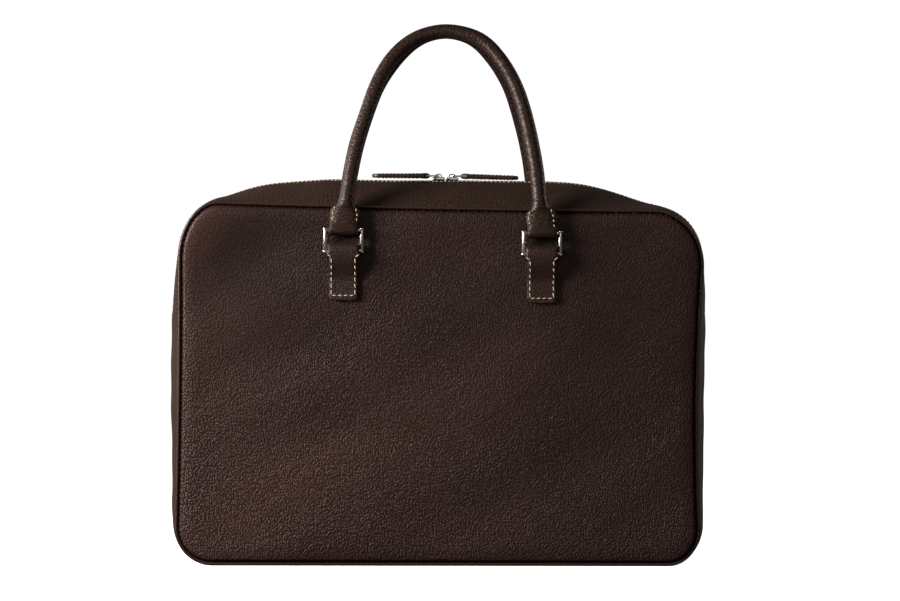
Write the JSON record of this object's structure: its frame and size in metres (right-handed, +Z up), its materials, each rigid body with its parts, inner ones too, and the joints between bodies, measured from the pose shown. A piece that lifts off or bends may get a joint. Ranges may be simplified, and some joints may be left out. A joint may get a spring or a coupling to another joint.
{
  "type": "business bag",
  "caption": "Rectangular leather briefcase that stands on a flat base, with a zip along the top and two rolled handles on metal rings.",
  "frame": {"origin": "on the floor, under the middle of the bag", "axes": "+X to the right seen from the front, -Y out of the front, +Z up"},
  "size_m": [0.4062, 0.1074, 0.4103],
  "materials": {
    "pebbled_leather": "dark brown, coarse pebble grain, semi-matt",
    "smooth_leather": "dark brown, fine grain, soft sheen",
    "gusset_leather": "brown, fine upright grain, matt",
    "zip_cloth": "dark brown woven tape",
    "nickel": "polished nickel"
  },
  "bodies": {
    "root": {"front_panel": "pebbled_leather", "back_panel": "pebbled_leather", "piping_front": "smooth_leather", "piping_back": "smooth_leather", "gusset_base": "gusset_leather", "zip_gusset_front": "gusset_leather", "zip_gusset_back": "gusset_leather", "zip_tape": "zip_cloth", "zip_chain": "nickel", "slider_left": "nickel", "slider_right": "nickel", "pull_link_left": "nickel", "pull_link_right": "nickel", "pull_left": "smooth_leather", "pull_right": "smooth_leather", "ring_front_left": "nickel", "ring_front_right": "nickel", "ring_back_left": "nickel", "ring_back_right": "nickel", "tab_front_left": "smooth_leather", "tab_front_right": "smooth_leather", "tab_back_left": "smooth_leather", "tab_back_right": "smooth_leather", "handle_front": "smooth_leather", "handle_back": "smooth_leather"}
  },
  "joints": []
}
